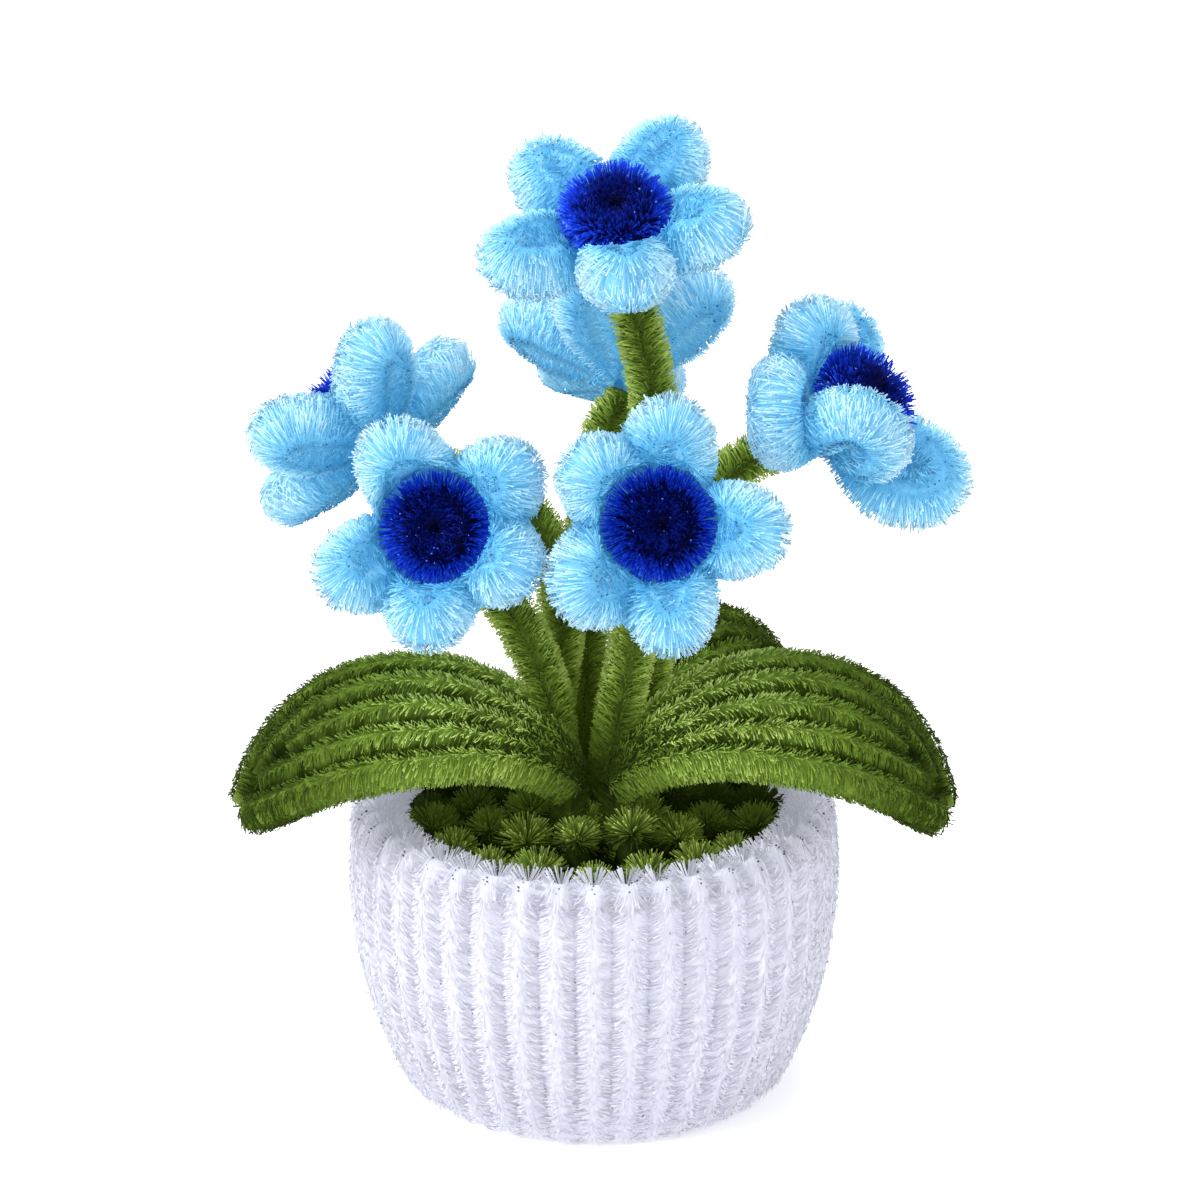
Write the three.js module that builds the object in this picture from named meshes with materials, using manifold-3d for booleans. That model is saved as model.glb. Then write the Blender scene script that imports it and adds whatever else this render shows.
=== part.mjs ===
// A potted flower made by hand of chenille stems: six light-blue blooms with dark-blue coiled
// centres on green stalks, three green leaves, green moss tufts and a white ribbed pot.
// Millimetres, +Z up. The origin is the middle of the pot's flat underside. The front is -Y.

import * as THREE from 'three';
import * as BufferGeometryUtils from 'three/addons/utils/BufferGeometryUtils.js';
import Module from 'manifold-3d';

// Driving dimensions

// Gap left between two pieces that touch each other
const CLEARANCE = 0.3;

// Pot: radius at the flat base, at the belly and at the rim's fold, and its heights
const BASE_RADIUS = 35;
const BELLY_RADIUS = 50.4;
const BELLY_HEIGHT = 44;
const RIM_RADIUS = 45.4;
const RIM_HEIGHT = 57;
const RIM_PILE = 4.6;
const RIB_COUNT = 42;
const RIB_DEPTH = 1.7;
const FLOOR_HEIGHT = 8;
const WALL = 10.4;

// Foam plug that fills the pot, and the moss mat that lies on it
const PLUG_TOP = 50;
const MOSS_TOP = 53.4;
const MOSS_RADIUS = 39.2;
const TUFT_RADIUS = 5.3;
const TUFT_HEIGHT = 6.2;
// The tufts of each ring stand a little higher than those outside it, and the two in front of
// the leaves' stems higher still
const MIDDLE_LIFT = 2.5;
const FRONT_LIFT = 6;
const TUFT_ROWS = [
  { radius: 33.4, count: 19, turn: 0.25, lift: 0 },
  { radius: 24.4, count: 14, turn: 0.2, lift: MIDDLE_LIFT },
  { radius: 16.6, count: 8, turn: 0.9, lift: 5 },
];

// Stalks: a ring of six where they enter the moss, pressed thinner there than higher up
const STALK_RING = 9.4;
const STALK_FOOT_RADIUS = 4;
const STALK_RADIUS = 5.2;
const STALK_END_RADIUS = 3.6;
const STALK_FOOT_HEIGHT = 34;

// Bloom: five folded petal loops around a hub, and a coiled disc in front of the hub
const PETAL_PILE = 6.5;
const PETAL_HALF_LOOP = 4.2;
const PETAL_LENGTH = 23.5;
const HUB_RADIUS = 6.6;
const DISC_RING_RADIUS = 6;
const DISC_PILE = 5;
const DISC_BACK = 8;

// Leaves: five strands side by side on an arched leaf
const LEAF_PILE = 4.3;
const LEAF_HALF_WIDTH = 12.6;
const LEAF_DROOP = 0.012;
const LEAF_FOOT_HEIGHT = 40;
// Share of the leaf's length at which the near and the far strands have spread out
const NEAR_OPENED = 0.62;
const FAR_OPENED = 0.48;
const NEAR_CURVE = 1.3;

// Where each bloom's disc is, which way it faces (azimuth and elevation in degrees), its petals
// (angle round the disc and angle of the cup in degrees, and where they differ from the rest the
// length, half width, curl and twist of the loop) and the way of its stalk above the moss
// Behind the disc stands the hub, `back` away where it differs from the rest.
const BLOOMS = [
  {
    name: 'front',
    disc: [12.7, -25, 126],
    azimuth: -92,
    elevation: 21,
    petals: [[84, 36], [143, 44], [220, 34, 24, 5.4, 0, -20], [278, 32], [356, 34]],
    footTurn: -75,
    way: [[7.5, -14, 96], [12, -16.5, 115]],
  },
  {
    name: 'left',
    disc: [-30.7, -14, 121.5],
    azimuth: -99,
    elevation: 24,
    petals: [[36, 35], [119, 45], [212, 31], [272, 36], [336, 38]],
    footTurn: 225,
    way: [[-9, -8.5, 84], [-14.5, -8, 99], [-22.5, -7, 110.5]],
  },
  {
    name: 'top',
    disc: [4.2, 0, 181],
    azimuth: -94,
    elevation: 54,
    petals: [[64, 10], [132, 2], [207, 14], [281, 30.5], [347, 27]],
    footTurn: 45,
    way: [[8, 7, 90.5], [10, 7, 107.5], [12, 4, 134], [11, 2.5, 148]],
  },
  {
    name: 'side',
    disc: [-50.15, 13.24, 138.2],
    azimuth: 150,
    elevation: 34,
    back: 11,
    petals: [[157, 10], [68, 24], [355, 32], [283, 20], [220, 28]],
    footTurn: 165,
    way: [[-6.5, 4.5, 97], [-9.5, 4.5, 113], [-19, 5, 123], [-31, 5.5, 127.5]],
  },
  {
    name: 'right',
    disc: [53, 2, 143.5],
    azimuth: -38,
    elevation: 45,
    back: 12,
    petals: [
      [44, 14],
      [110, 43, 23.5, 4.4, 0, -35],
      [164, 24, 23.5, 6.6, -2.7, -28],
      [211, 54, 23.6, 7, -3.8, 6],
      [294, 17, 25.2, 6.9, -1.6, 31],
    ],
    footTurn: -15,
    way: [[12, -2, 92], [16.5, -2.5, 112], [23.5, 2, 124], [33, 6.5, 130]],
  },
  {
    name: 'back',
    disc: [6, 27.5, 147],
    azimuth: 90,
    elevation: 45,
    petals: [[0, 34], [301, 30], [146, 34], [72, 28], [255, 24, 19]],
    footTurn: 105,
    way: [[-1, 15, 91.5], [-1, 16.5, 110], [1, 17, 127]],
  },
];

// Each leaf's spine as a Bezier curve from the root to the tip, and the way across the leaf
const LEAVES = [
  {
    name: 'leaf_left',
    spine: [[-4.8, -17.8, 69], [-15, -18, 86], [-51.5, -21, 95], [-68, -22, 65.5]],
    across: [0, 0.86, 0.51],
    halfWidth: LEAF_HALF_WIDTH,
    rootWidth: 0.2,
  },
  {
    name: 'leaf_right',
    spine: [[4.8, -17.8, 69], [19, -18, 87.5], [54.5, -21, 95], [68, -22, 65]],
    across: [0, 0.86, 0.51],
    halfWidth: LEAF_HALF_WIDTH,
    rootWidth: 0.2,
  },
  {
    name: 'leaf_back',
    spine: [[5, 19, 64], [15, 21, 76], [28, 26, 86], [38, 32, 74.5]],
    across: [-0.5, 0.62, 0.6],
    halfWidth: 9.5,
    rootWidth: 0.3,
  },
];

// Colours
const PETAL_BLUE = 0x8fd2f7;
const CENTRE_BLUE = 0x0a18a0;
const STALK_GREEN = 0x5d8730;
const LEAF_GREEN = 0x668f35;
const MOSS_GREEN = 0x476b22;
const POT_WHITE = 0xeeeef8;
const FOAM_GREEN = 0x2f4a1c;

const wasm = await Module();
wasm.setup();

// Solids and meshes

function toSolid(geometry) {
  const bare = geometry.clone();
  bare.deleteAttribute('normal');
  bare.deleteAttribute('uv');
  const merged = BufferGeometryUtils.mergeVertices(bare, 1e-4);
  const kept = [];
  const index = merged.index.array;
  for (let i = 0; i < index.length; i += 3) {
    const [a, b, c] = [index[i], index[i + 1], index[i + 2]];
    if (a !== b && b !== c && c !== a) {
      kept.push(a, b, c);
    }
  }
  return new wasm.Manifold(new wasm.Mesh({
    numProp: 3,
    vertProperties: new Float32Array(merged.attributes.position.array),
    triVerts: new Uint32Array(kept),
  }));
}

function toGeometry(solid) {
  const mesh = solid.getMesh();
  const geometry = new THREE.BufferGeometry();
  geometry.setAttribute('position', new THREE.BufferAttribute(mesh.vertProperties, 3));
  geometry.setIndex(new THREE.BufferAttribute(mesh.triVerts, 1));
  geometry.computeVertexNormals();
  return geometry;
}

function joined(solids) {
  return solids.reduce((whole, solid) => whole.add(solid));
}

// A closed solid of revolution about +Z, from radius and height pairs that run from the axis
// at the bottom round the outside to the axis at the top
function turned(profile, segments) {
  const points = profile.map(([r, z]) => new THREE.Vector2(r, z));
  const geometry = new THREE.LatheGeometry(points, segments);
  geometry.rotateX(Math.PI / 2);
  return geometry;
}

// One length of chenille along a curve: a turned solid, one unit long, whose sections are laid
// square to the curve. radiusAt gives the pile's radius. The far end is rounded by a cap, whose
// rows stand above 1 on the turned solid.
function pileAlong(pointAt, radiusAt, steps, sides, side) {
  const profile = [[0, 0]];
  for (let i = 0; i <= steps; i += 1) {
    profile.push([1, i / steps]);
  }
  profile.push([0.72, 1.7], [0, 2]);
  const geometry = turned(profile, sides);
  const place = geometry.attributes.position;
  const row = new THREE.Vector3();
  for (let i = 0; i < place.count; i += 1) {
    row.fromBufferAttribute(place, i);
    const t = THREE.MathUtils.clamp(row.z, 0, 1);
    const ahead = pointAt(Math.min(1, t + 0.01));
    const behind = pointAt(Math.max(0, t - 0.01));
    const along = ahead.sub(behind).normalize();
    const across = side.clone().addScaledVector(along, -side.dot(along)).normalize();
    const up = along.clone().cross(across);
    const radius = radiusAt(t);
    const point = pointAt(t);
    point.addScaledVector(along, Math.max(0, row.z - 1) * radius);
    point.addScaledVector(across, row.x * radius);
    point.addScaledVector(up, row.y * radius);
    place.setXYZ(i, point.x, point.y, point.z);
  }
  return geometry;
}

const vector = (values) => new THREE.Vector3(...values);
const degrees = THREE.MathUtils.degToRad;

const flower = new THREE.Group();

function addMesh(name, geometry, color, roughness = 0.95) {
  const material = new THREE.MeshStandardMaterial({ color, roughness, metalness: 0 });
  const mesh = new THREE.Mesh(geometry, material);
  mesh.name = name;
  flower.add(mesh);
}

// Pot: a wall of upright chenille ribs, each folded over the rim, on a flat base

function bellyRadius(z) {
  const drop = (BELLY_HEIGHT - z) / 70;
  return BELLY_RADIUS * Math.sqrt(1 - drop * drop);
}

function innerRadius(z) {
  return Math.max(20, bellyRadius(z) - WALL);
}

const potProfile = [[0, 0], [BASE_RADIUS, 0]];
for (const z of [3, 15, 31, 50]) {
  potProfile.push([bellyRadius(z), z]);
}
for (const turn of [20, 65, 115, 160]) {
  potProfile.push([
    RIM_RADIUS + RIM_PILE * Math.cos(degrees(turn)),
    RIM_HEIGHT + RIM_PILE * Math.sin(degrees(turn)),
  ]);
}
potProfile.push([innerRadius(PLUG_TOP), PLUG_TOP]);
potProfile.push([innerRadius(FLOOR_HEIGHT), FLOOR_HEIGHT]);
potProfile.push([0, FLOOR_HEIGHT]);

const RIB_SEGMENTS = RIB_COUNT * 3;
const potGeometry = turned(potProfile, RIB_SEGMENTS);
{
  const place = potGeometry.attributes.position;
  for (let i = 0; i < place.count; i += 1) {
    const x = place.getX(i);
    const y = place.getY(i);
    const z = place.getZ(i);
    const radius = Math.hypot(x, y);
    const step = Math.round((Math.atan2(y, x) / (2 * Math.PI)) * RIB_SEGMENTS);
    const inGroove = ((step % 3) + 3) % 3 === 0;
    const onRib = z > 1 && radius > innerRadius(z) + 1;
    if (inGroove && onRib) {
      const inward = (radius - RIB_DEPTH) / radius;
      const lower = z > RIM_HEIGHT ? RIB_DEPTH * 0.8 : 0;
      const onInside = radius < RIM_RADIUS - 1;
      const factor = onInside ? 1 : inward;
      place.setXYZ(i, x * factor, y * factor, z - lower);
    }
  }
}
addMesh('pot', potGeometry, POT_WHITE);

// Stalks

function facing(bloom) {
  const azimuth = degrees(bloom.azimuth);
  const elevation = degrees(bloom.elevation);
  return new THREE.Vector3(
    Math.cos(elevation) * Math.cos(azimuth),
    Math.cos(elevation) * Math.sin(azimuth),
    Math.sin(elevation),
  );
}

function hubOf(bloom) {
  return vector(bloom.disc).addScaledVector(facing(bloom), -(bloom.back ?? DISC_BACK));
}

function stalkCurve(bloom) {
  const turn = degrees(bloom.footTurn);
  const x = STALK_RING * Math.cos(turn);
  const y = STALK_RING * Math.sin(turn);
  const points = [
    new THREE.Vector3(x, y, STALK_FOOT_HEIGHT),
    new THREE.Vector3(x, y, PLUG_TOP),
    new THREE.Vector3(x * 1.03, y * 1.03, 64),
    ...bloom.way.map(vector),
    hubOf(bloom).addScaledVector(facing(bloom), -3.2),
  ];
  return new THREE.CatmullRomCurve3(points, false, 'centripetal');
}

function stalkRadius(t) {
  const grown = THREE.MathUtils.smoothstep(t, 0.25, 0.6);
  const pinched = THREE.MathUtils.smoothstep(t, 0.94, 1);
  const full = THREE.MathUtils.lerp(STALK_FOOT_RADIUS, STALK_RADIUS, grown);
  return THREE.MathUtils.lerp(full, STALK_END_RADIUS, pinched);
}

function stalkGeometry(bloom, extra = 0) {
  const curve = stalkCurve(bloom);
  const reach = hubOf(bloom).sub(curve.points[0]);
  const side = new THREE.Vector3(-reach.y, reach.x, 0).normalize();
  const steps = 12;
  return pileAlong((t) => curve.getPointAt(t), (t) => stalkRadius(t) + extra, steps, 8, side);
}

const stalkRooms = [];
for (const bloom of BLOOMS) {
  addMesh(`stalk_${bloom.name}`, stalkGeometry(bloom), STALK_GREEN);
  stalkRooms.push(toSolid(stalkGeometry(bloom, CLEARANCE + 0.05)));
}

// Blooms: each petal is a loop of chenille, its two legs side by side, and all five are bound
// at the hub

const discProfile = [
  [0, -2.6],
  [2.6, -DISC_PILE * 0.8],
  [DISC_RING_RADIUS, -DISC_PILE],
  [DISC_RING_RADIUS + DISC_PILE * 0.78, -DISC_PILE * 0.62],
  [DISC_RING_RADIUS + DISC_PILE, 0],
  [DISC_RING_RADIUS + DISC_PILE * 0.78, DISC_PILE * 0.62],
  [DISC_RING_RADIUS + 0.4, DISC_PILE * 0.95],
  [3.5, DISC_PILE * 0.55],
  [2.2, DISC_PILE * 0.72],
  [0, DISC_PILE * 0.84],
];

const pocketProfile = [
  [0, -2.6 - CLEARANCE],
  [2.6, -DISC_PILE * 0.8 - CLEARANCE * 1.1],
  [DISC_RING_RADIUS, -DISC_PILE - CLEARANCE * 1.1],
  [DISC_RING_RADIUS + DISC_PILE * 0.78 + CLEARANCE * 0.8, -DISC_PILE * 0.62 - CLEARANCE],
  [DISC_RING_RADIUS + DISC_PILE + CLEARANCE * 1.2, 0],
  [DISC_RING_RADIUS + DISC_PILE + CLEARANCE * 1.4, 5],
  [0, 16],
];

function alongFacing(geometry, bloom) {
  const turn = new THREE.Quaternion();
  turn.setFromUnitVectors(new THREE.Vector3(0, 0, 1), facing(bloom));
  geometry.applyQuaternion(turn);
  geometry.translate(...bloom.disc);
  return geometry;
}

function petalLegs(bloom, petal) {
  const [turn, cup, length = PETAL_LENGTH, halfLoop = PETAL_HALF_LOOP, curl = 0, twist = 0] = petal;
  const ahead = facing(bloom);
  const upward = new THREE.Vector3(0, 0, 1).addScaledVector(ahead, -ahead.z).normalize();
  const rightward = upward.clone().cross(ahead);
  const angle = degrees(turn);
  const outward = rightward.clone().multiplyScalar(Math.cos(angle));
  outward.addScaledVector(upward, Math.sin(angle));
  const sideways = rightward.clone().multiplyScalar(-Math.sin(angle));
  sideways.addScaledVector(upward, Math.cos(angle));
  const reach = outward.multiplyScalar(Math.cos(degrees(cup)));
  reach.addScaledVector(ahead, Math.sin(degrees(cup)));
  const normal = reach.clone().cross(sideways);
  sideways.applyAxisAngle(reach, degrees(twist));
  normal.applyAxisAngle(reach, degrees(twist));
  const hub = hubOf(bloom);
  return [-1, 1].map((hand) => {
    const pointAt = (t) => {
      const width = halfLoop * Math.sin(Math.PI * (0.06 + 0.74 * t ** 1.1));
      const point = hub.clone().addScaledVector(reach, 2 + (length - 2.5) * t);
      point.addScaledVector(normal, curl * Math.sin(Math.PI * t));
      return point.addScaledVector(sideways, hand * width);
    };
    return toSolid(pileAlong(pointAt, () => PETAL_PILE, 3, 6, normal));
  });
}

for (const bloom of BLOOMS) {
  const hubBall = new THREE.SphereGeometry(HUB_RADIUS, 8, 4);
  const hub = hubOf(bloom);
  hubBall.translate(hub.x, hub.y, hub.z);
  const legs = bloom.petals.flatMap((petal) => petalLegs(bloom, petal));
  const pocket = toSolid(alongFacing(turned(pocketProfile, 14), bloom));
  const socket = stalkRooms[BLOOMS.indexOf(bloom)];
  const petals = joined([toSolid(hubBall), ...legs]).subtract(pocket).subtract(socket);
  addMesh(`petals_${bloom.name}`, toGeometry(petals), PETAL_BLUE);
  addMesh(`centre_${bloom.name}`, alongFacing(turned(discProfile, 14), bloom), CENTRE_BLUE);
}

// Leaves

function leafGeometry(leaf) {
  const spine = new THREE.CubicBezierCurve3(...leaf.spine.map(vector));
  const acrossLeaf = vector(leaf.across).normalize();
  const strandEnd = [0.84, 0.93, 1];
  const pointOn = (u, v) => {
    const along = spine.getTangent(u);
    const across = acrossLeaf.clone().addScaledVector(along, -acrossLeaf.dot(along)).normalize();
    const up = along.clone().cross(across);
    if (up.z < 0) {
      up.negate();
    }
    const point = spine.getPoint(u).addScaledVector(across, v);
    return point.addScaledVector(up, -LEAF_DROOP * v * v);
  };
  const strands = [-2, -1, 0, 1, 2].map((strand) => {
    const end = strandEnd[Math.abs(strand)];
    const pointAt = (t) => {
      const u = t * end;
      const opened = strand < 0 ? NEAR_OPENED : FAR_OPENED;
      const curve = strand < 0 ? NEAR_CURVE : 1;
      const grown = Math.sin(Math.min(1, u / opened) * Math.PI / 2) ** curve;
      const spread = leaf.rootWidth + (1 - leaf.rootWidth) * grown;
      const closing = Math.max(0, (u / end - 0.55) / 0.45);
      const tip = strand === 0 ? 1 : Math.sqrt(Math.max(0.04, 1 - closing ** 3));
      return pointOn(u, leaf.halfWidth * (strand / 2) * spread * tip);
    };
    return toSolid(pileAlong(pointAt, () => LEAF_PILE, 8, 6, new THREE.Vector3(0, 0.5, 1)));
  });
  const root = vector(leaf.spine[0]);
  const foot = new THREE.Vector3(root.x, root.y, LEAF_FOOT_HEIGHT);
  const stub = (t) => foot.clone().lerp(root, t);
  const stem = pileAlong(stub, () => LEAF_PILE - 0.2, 2, 8, new THREE.Vector3(1, 0, 0));
  return joined([...strands, toSolid(stem)]);
}

for (const leaf of LEAVES) {
  let solid = leafGeometry(leaf);
  for (const room of stalkRooms) {
    solid = solid.subtract(room);
  }
  addMesh(leaf.name, toGeometry(solid), LEAF_GREEN);
}

// Foam plug and moss, with plain holes for the stalks and the leaves' stems

const holes = [];
for (const bloom of BLOOMS) {
  const turn = degrees(bloom.footTurn);
  holes.push([STALK_RING * Math.cos(turn), STALK_RING * Math.sin(turn), STALK_FOOT_RADIUS]);
}
for (const leaf of LEAVES) {
  holes.push([leaf.spine[0][0], leaf.spine[0][1], LEAF_PILE - 0.2]);
}

function bored(solid, bottomOfStalk, bottomOfLeaf) {
  let result = solid;
  holes.forEach(([x, y, radius], i) => {
    const bottom = i < BLOOMS.length ? bottomOfStalk : bottomOfLeaf;
    const wide = (radius + CLEARANCE) / Math.cos(Math.PI / 10);
    const hole = turned([[0, bottom], [wide, bottom], [wide, 75], [0, 75]], 10);
    hole.translate(x, y, 0);
    result = result.subtract(toSolid(hole));
  });
  return result;
}

const plugProfile = [
  [0, FLOOR_HEIGHT + CLEARANCE],
  [innerRadius(FLOOR_HEIGHT) - 1.2, FLOOR_HEIGHT + CLEARANCE],
  [innerRadius(PLUG_TOP) - 0.4, PLUG_TOP],
  [0, PLUG_TOP],
];
const plug = toSolid(turned(plugProfile, 28));
const boredPlug = bored(plug, STALK_FOOT_HEIGHT - CLEARANCE, LEAF_FOOT_HEIGHT - CLEARANCE);
addMesh('foam_plug', toGeometry(boredPlug), FOAM_GREEN);

const mat = turned([
  [0, PLUG_TOP + CLEARANCE],
  [MOSS_RADIUS, PLUG_TOP + CLEARANCE],
  [MOSS_RADIUS, MOSS_TOP],
  [0, MOSS_TOP],
], 42);

// A tuft is a fan of pile: a dome with pleats, taller towards the middle of the pot
const tuftProfile = [[0, -0.25], [1, -0.25], [0.97, 0.3], [0.62, 0.86], [0, 1.04]];

function tuft(x, y, turn, size, lift) {
  const geometry = turned(tuftProfile, 8);
  const place = geometry.attributes.position;
  for (let i = 0; i < place.count; i += 1) {
    const step = Math.round(Math.atan2(place.getY(i), place.getX(i)) / (Math.PI / 4));
    const pleat = step % 2 === 0 ? 1 : 0.84;
    const radius = TUFT_RADIUS * size * pleat;
    const rise = TUFT_HEIGHT * size + (place.getZ(i) > 0 ? lift : 0);
    place.setXYZ(i, place.getX(i) * radius, place.getY(i) * radius, place.getZ(i) * rise);
  }
  geometry.rotateZ(turn);
  geometry.translate(x, y, MOSS_TOP - 0.9);
  return toSolid(geometry);
}

let moss = toSolid(mat);
for (const { radius, count, turn, lift } of TUFT_ROWS) {
  for (let i = 0; i < count; i += 1) {
    const angle = ((i + turn) / count) * 2 * Math.PI;
    const size = 0.92 + 0.08 * Math.sin(i * 2.4 + radius);
    const x = radius * Math.cos(angle);
    const y = radius * Math.sin(angle);
    const inFront = lift === MIDDLE_LIFT && Math.abs(x) < 9 && y < 0;
    moss = moss.add(tuft(x, y, angle, size, inFront ? FRONT_LIFT : lift));
  }
}
const mossLimit = toSolid(turned([[0, 40], [MOSS_RADIUS, 40], [MOSS_RADIUS, 80], [0, 80]], 42));
moss = bored(moss.intersect(mossLimit), 40, 40);
addMesh('moss', toGeometry(moss), MOSS_GREEN);

export default flower;
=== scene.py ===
"""A potted flower bent by hand from chenille stems: light-blue blooms with dark-blue coiled
centres, green stalks, leaves and moss, and a white ribbed pot. Every stem is a core tube that
carries a pile of fine flat fibres. Lengths below are in millimetres. A fibre's turn round its
stem is in radians, from the stem's front, and the turns of blooms and petals are in degrees.
A fibre's depth is 0 at the wire and 1 at the outermost tips, and sets its colour: darker
deep in the pile, which is painted shade, and lowered further to paint shade where stems meet
and in hollows."""

import math

import bmesh
import bpy
import numpy as np
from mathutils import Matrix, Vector


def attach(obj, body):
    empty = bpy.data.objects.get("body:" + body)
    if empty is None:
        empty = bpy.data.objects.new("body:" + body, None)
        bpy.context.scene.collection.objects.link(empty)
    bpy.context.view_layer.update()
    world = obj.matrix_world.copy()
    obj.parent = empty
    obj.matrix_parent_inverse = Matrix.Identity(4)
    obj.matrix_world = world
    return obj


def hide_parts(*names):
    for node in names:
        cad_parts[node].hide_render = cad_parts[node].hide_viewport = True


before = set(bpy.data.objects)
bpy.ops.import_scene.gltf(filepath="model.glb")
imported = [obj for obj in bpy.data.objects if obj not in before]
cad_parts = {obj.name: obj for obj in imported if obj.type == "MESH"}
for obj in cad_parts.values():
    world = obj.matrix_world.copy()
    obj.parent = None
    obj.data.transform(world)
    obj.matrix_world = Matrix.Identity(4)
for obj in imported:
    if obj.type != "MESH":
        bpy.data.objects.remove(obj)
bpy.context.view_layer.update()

MM = 0.001
SEED = 20
BODY = "root"
PILE_MAP = "OFBake"

# Pot: the wire's line in each rib, and the shape of the belly
BELLY_RADIUS = 50.4
BELLY_HEIGHT = 44
BELLY_CURVE = 70
BASE_RADIUS = 35
RIB_COUNT = 42
RIB_PILE = 4.9
RIM_RADIUS = 45.4
FLOOR_HEIGHT = 8
WALL = 10.4
PLUG_TOP = 50
LINER_INSET = 0.7
LINER_HEIGHTS = (3, 8, 14, 20, 27, 34, 41, 48, 53)
LINER_STEPS = 6
LINER_GROOVE = 1.5
RIB_FOOT = 1.5
RIB_TOP = 54
FOLD_RADIUS = 1.5
FOLD_HEIGHT = 55.4

# Moss mat and its tufts. Each ring of tufts: its radius, its number of tufts, its turn as a share
# of the step between them, and its lift
MOSS_TOP = 53.4
MAT_GAP = 0.3
MOSS_RADIUS = 39.2
MOSS_FRINGE = 0.6
TUFT_RADIUS = 6.0
TUFT_HEIGHT = 6.6
TUFT_FOOT = 52.5
MIDDLE_LIFT = 2.5
FRONT_LIFT = 6
TUFT_ROWS = [(33.4, 19, 0.25, 0), (24.4, 14, 0.2, MIDDLE_LIFT), (16.6, 8, 0.9, 5)]
TUFT_CORE = 0.62
TUFT_SINK = 4.6
TUFT_FIBRES = 400

# Stalks
STALK_RING = 9.4
STALK_FOOT_RADIUS = 4
STALK_RADIUS = 5.2
STALK_END_RADIUS = 3.6
STALK_FOOT_HEIGHT = 34
STALK_FREE_HEIGHT = 64
STALK_SPREAD = 1.03
STALK_END_GAP = 3.2

# Blooms
PETAL_PILE = 6.5
PETAL_BOUND_PILE = 4.7
PETAL_HALF_LOOP = 4.2
PETAL_LENGTH = 23.5
DISC_RING_RADIUS = 6
DISC_PILE = 5
DISC_BACK = 8
DISC_CLEAR = 10.6
DISC_FLARE = 0.12
DISC_TOP = 7
DISC_UNDERSIDE = -3.6
# Share of the depth left at a bloom's hub: painted shade there
HUB_SHADE = 0.45
KNOB_HEIGHT = 1.2
KNOB_PILE = 3.5
COIL_TURNS = 1.8
COIL_START = 0.7

# Leaves
LEAF_PILE = 4.3
LEAF_HALF_WIDTH = 12.6
LEAF_DROOP = 0.012
LEAF_FOOT_HEIGHT = 40
STRAND_ENDS = (0.84, 0.93, 1)
NEAR_OPENED = 0.62
NEAR_CURVE = 1.3
FAR_OPENED = 0.48
CLOSING_FROM = 0.55
CLOSING_OVER = 0.45

# Each bloom: its disc's place, and the azimuth and elevation of the way that it faces. Each
# petal's turn and cup and, where they differ from the rest, its length, half width, curl and
# twist. The turn of the stalk's foot, and the stalk's way above the moss. Where they differ from
# the rest: how far the hub lies behind the disc (back), how far the coil's middle stands out
# (knob), and the share of the depth that is left at the hub and where petals meet (least),
# which paints shade there.
BLOOMS = {
    "front": dict(
        disc=(12.7, -25, 126), azimuth=-92, elevation=21,
        petals=[(84, 36), (143, 44), (220, 34, 24, 5.4, 0, -20), (278, 32), (356, 34)],
        foot=-75, way=[(7.5, -14, 96), (12, -16.5, 115)]),
    "left": dict(
        disc=(-30.7, -14, 121.5), azimuth=-99, elevation=24,
        petals=[(36, 35), (119, 45), (212, 31), (272, 36), (336, 38)],
        foot=225, way=[(-9, -8.5, 84), (-14.5, -8, 99), (-22.5, -7, 110.5)]),
    "top": dict(
        disc=(4.2, 0, 181), azimuth=-94, elevation=54,
        petals=[(64, 10), (132, 2), (207, 14), (281, 30.5), (347, 27)],
        foot=45, way=[(8, 7, 90.5), (10, 7, 107.5), (12, 4, 134), (11, 2.5, 148)]),
    "side": dict(
        disc=(-50.15, 13.24, 138.2), azimuth=150, elevation=34, back=11, hub_shade=0.7,
        least=0.6,
        petals=[(157, 10), (68, 24), (355, 32), (283, 20), (220, 28)],
        foot=165, way=[(-6.5, 4.5, 97), (-9.5, 4.5, 113), (-19, 5, 123), (-31, 5.5, 127.5)]),
    "right": dict(
        disc=(53, 2, 143.5), azimuth=-38, elevation=45, back=12, knob=3.4,
        petals=[
            (44, 14), (110, 43, 23.5, 4.4, 0, -35), (164, 24, 23.5, 6.6, -2.7, -28),
            (211, 54, 23.6, 7.2, -3.8, 6), (294, 17, 25.2, 6.9, -1.6, 31)],
        foot=-15, way=[(12, -2, 92), (16.5, -2.5, 112), (23.5, 2, 124), (33, 6.5, 130)]),
    "back": dict(
        hub_shade=1, least=0.8,
        disc=(6, 27.5, 147), azimuth=90, elevation=45,
        petals=[(0, 34), (301, 30), (146, 34), (72, 28), (255, 24, 19)],
        foot=105, way=[(-1, 15, 91.5), (-1, 16.5, 110), (1, 17, 127)]),
}

# Each leaf's spine as a Bezier curve, the way across it, its half width, and the width's share
# at its root
LEAVES = {
    "leaf_left": dict(
        spine=[(-4.8, -17.8, 69), (-15, -18, 86), (-51.5, -21, 95), (-68, -22, 65.5)],
        across=(0, 0.86, 0.51), half_width=LEAF_HALF_WIDTH, root=0.2),
    "leaf_right": dict(
        spine=[(4.8, -17.8, 69), (19, -18, 87.5), (54.5, -21, 95), (68, -22, 65)],
        across=(0, 0.86, 0.51), half_width=LEAF_HALF_WIDTH, root=0.2),
    "leaf_back": dict(
        spine=[(5, 19, 64), (15, 21, 76), (28, 26, 86), (38, 32, 74.5)],
        across=(-0.5, 0.62, 0.6), half_width=9.5, root=0.3),
}


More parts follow.
